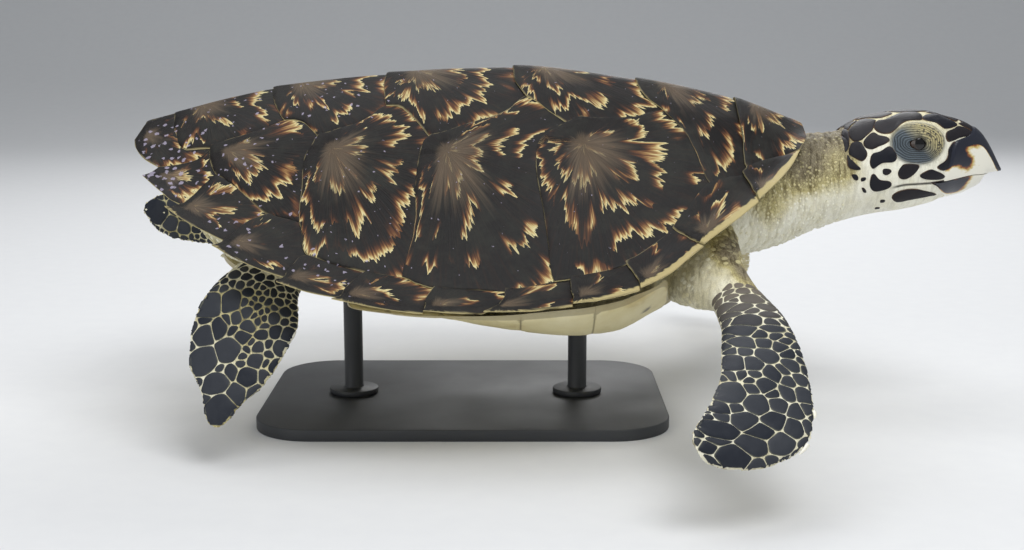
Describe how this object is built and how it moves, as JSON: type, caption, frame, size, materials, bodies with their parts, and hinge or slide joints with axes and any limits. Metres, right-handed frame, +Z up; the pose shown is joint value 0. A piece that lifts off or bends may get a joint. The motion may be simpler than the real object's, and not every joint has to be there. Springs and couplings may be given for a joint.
{
  "type": "hawksbill sea turtle model",
  "caption": "Life-size still model of a hawksbill sea turtle gliding level with its head forward and flippers spread, carried on a flat base by short rods.",
  "frame": {"origin": "middle of the underside of the stand's base plate, on the floor, below the middle of the carapace", "axes": "+X to the head, +Y to the animal's left, +Z up"},
  "size_m": [0.9411, 0.8609, 0.3623],
  "materials": {
    "carapace": "satin horn scutes, dark brown with amber and pale yellow flames",
    "plastron": "smooth pale yellow horn",
    "skin": "wrinkled matte skin with dark scales",
    "horn": "polished pale horn with dark patches",
    "eye": "wet gloss",
    "stand_steel": "satin dark paint"
  },
  "bodies": {
    "root": {"beak_lower": "horn", "beak_upper": "horn", "bridge_left": "plastron", "bridge_right": "plastron", "costal_left_1": "carapace", "costal_left_2": "carapace", "costal_left_3": "carapace", "costal_left_4": "carapace", "costal_right_1": "carapace", "costal_right_2": "carapace", "costal_right_3": "carapace", "costal_right_4": "carapace", "eye_left": "eye", "eye_right": "eye", "fore_flipper_left": "skin", "fore_flipper_right": "skin", "head": "skin", "hind_flipper_left": "skin", "hind_flipper_right": "skin", "marginal_left_1": "carapace", "marginal_left_10": "carapace", "marginal_left_11": "carapace", "marginal_left_12": "carapace", "marginal_left_2": "carapace", "marginal_left_3": "carapace", "marginal_left_4": "carapace", "marginal_left_5": "carapace", "marginal_left_6": "carapace", "marginal_left_7": "carapace", "marginal_left_8": "carapace", "marginal_left_9": "carapace", "marginal_right_1": "carapace", "marginal_right_10": "carapace", "marginal_right_11": "carapace", "marginal_right_12": "carapace", "marginal_right_2": "carapace", "marginal_right_3": "carapace", "marginal_right_4": "carapace", "marginal_right_5": "carapace", "marginal_right_6": "carapace", "marginal_right_7": "carapace", "marginal_right_8": "carapace", "marginal_right_9": "carapace", "neck": "skin", "nuchal": "carapace", "plastron": "plastron", "stand_base": "stand_steel", "stand_rod_front": "stand_steel", "stand_rod_rear": "stand_steel", "tail": "skin", "trunk": "skin", "vertebral_1": "carapace", "vertebral_2": "carapace", "vertebral_3": "carapace", "vertebral_4": "carapace", "vertebral_5": "carapace"}
  },
  "joints": []
}
